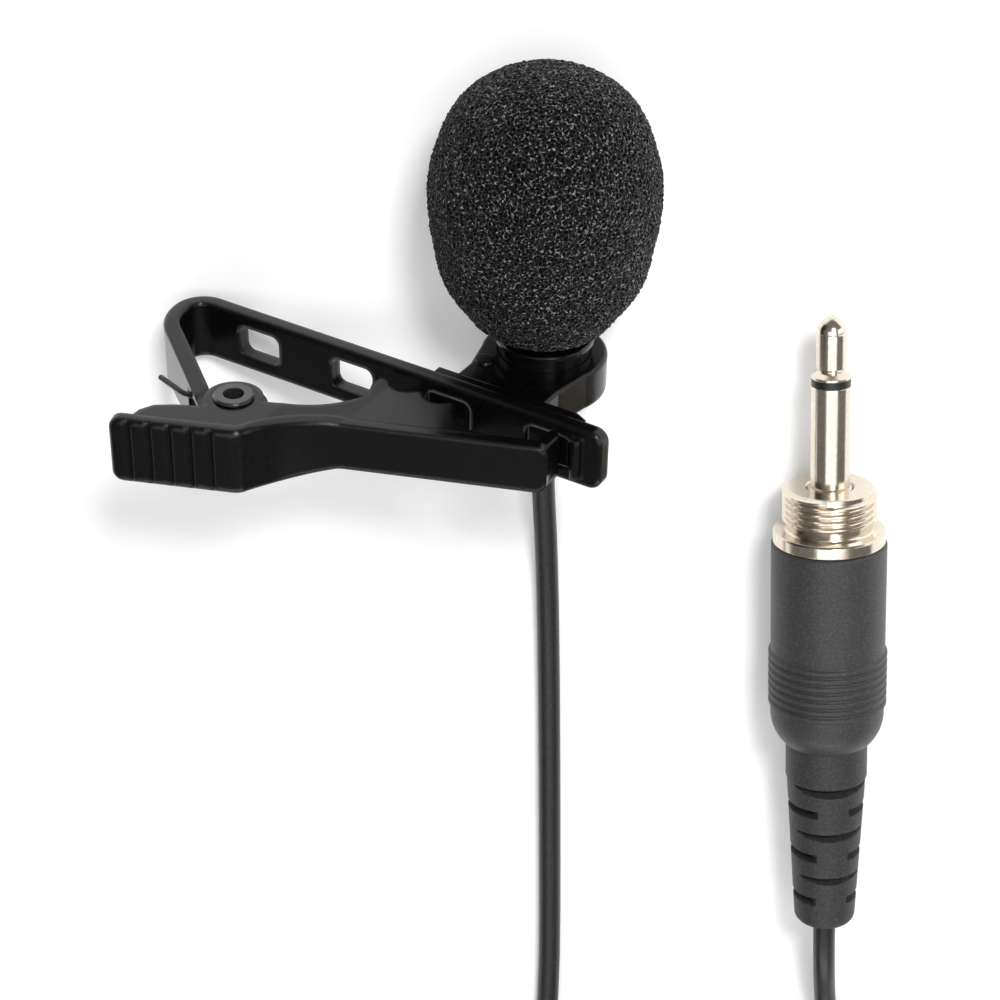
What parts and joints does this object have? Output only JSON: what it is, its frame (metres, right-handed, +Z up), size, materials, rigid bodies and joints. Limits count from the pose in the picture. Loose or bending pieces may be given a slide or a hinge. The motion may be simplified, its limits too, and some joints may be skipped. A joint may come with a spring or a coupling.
{
  "type": "lavalier microphone",
  "caption": "Clip-on lavalier microphone: foam windscreen over a tubular capsule housing, spring tie clip with a ring holder, thin cord and a screw-locking mini jack plug.",
  "frame": {"origin": "on the table surface, at the centre of the bounding box of the microphone with its clip and windscreen", "axes": "+Z up from the table, +X from the jaw's thumb pad towards the windscreen side and the plug, +Y from the cord side towards the windscreen's tip"},
  "size_m": [0.0663, 0.1379, 0.0235],
  "materials": {
    "foam": "matte",
    "housing_black": "gloss",
    "steel": "satin",
    "soft_black": "matte",
    "dust_cloth": "matte",
    "capsule_can": "satin",
    "board_green": "satin",
    "potting": "satin",
    "clip_black": "satin",
    "holder_black": "satin",
    "spring_black": "satin",
    "nickel": "polished",
    "black_plastic": "satin",
    "barrel_black": "satin",
    "brass": "satin",
    "cord_black": "satin"
  },
  "bodies": {
    "microphone": {"mic_housing": "housing_black", "grille_cap": "steel", "tail_bushing": "soft_black", "acoustic_cloth": "dust_cloth", "electret_capsule": "capsule_can", "capsule_board": "board_green", "potted_carrier": "potting", "plug_tip": "nickel", "plug_insulator": "black_plastic", "plug_sleeve": "nickel", "plug_core": "black_plastic", "tip_tag": "brass", "earth_tag": "brass", "strain_relief_boot": "soft_black", "cord_mic_run": "cord_black", "cord_coil": "cord_black", "cord_plug_run": "cord_black", "cord_tie": "black_plastic"},
    "clip": {"mic_holder": "holder_black", "front_arm": "clip_black", "pivot_rivet": "clip_black", "jaw_spring": "spring_black"},
    "jaw": {"rear_jaw": "clip_black"},
    "windscreen": {"foam_windscreen": "foam"},
    "locking_sleeve": {"threaded_collar": "nickel", "barrel_sleeve": "barrel_black", "retaining_ring": "brass"}
  },
  "joints": [
    {"name": "clip_swivel", "type": "hinge", "parent": "microphone", "child": "clip", "pos_m": [0.01244, -0.00962, 0.00607], "axis": [0.0582, 0.9685, 0.2419], "range_deg": [0, 85]},
    {"name": "jaw_hinge", "type": "hinge", "parent": "clip", "child": "jaw", "pos_m": [-0.01338, -0.01074, 0.01678], "axis": [-0.0582, -0.9685, -0.2419], "range_deg": [0, 22], "stiffness_Nm_per_rad": 0.06, "springref_deg": -45.84, "deforming": ["jaw_spring"]},
    {"name": "windscreen_slide", "type": "slide", "parent": "microphone", "child": "windscreen", "axis": [0.0582, 0.9685, 0.2419], "range_m": [0, 0.025]},
    {"name": "sleeve_turn", "type": "hinge", "parent": "microphone", "child": "locking_sleeve", "pos_m": [0.03759, -0.02679, 0.0054], "axis": [0, 1, 0], "continuous": true}
  ]
}
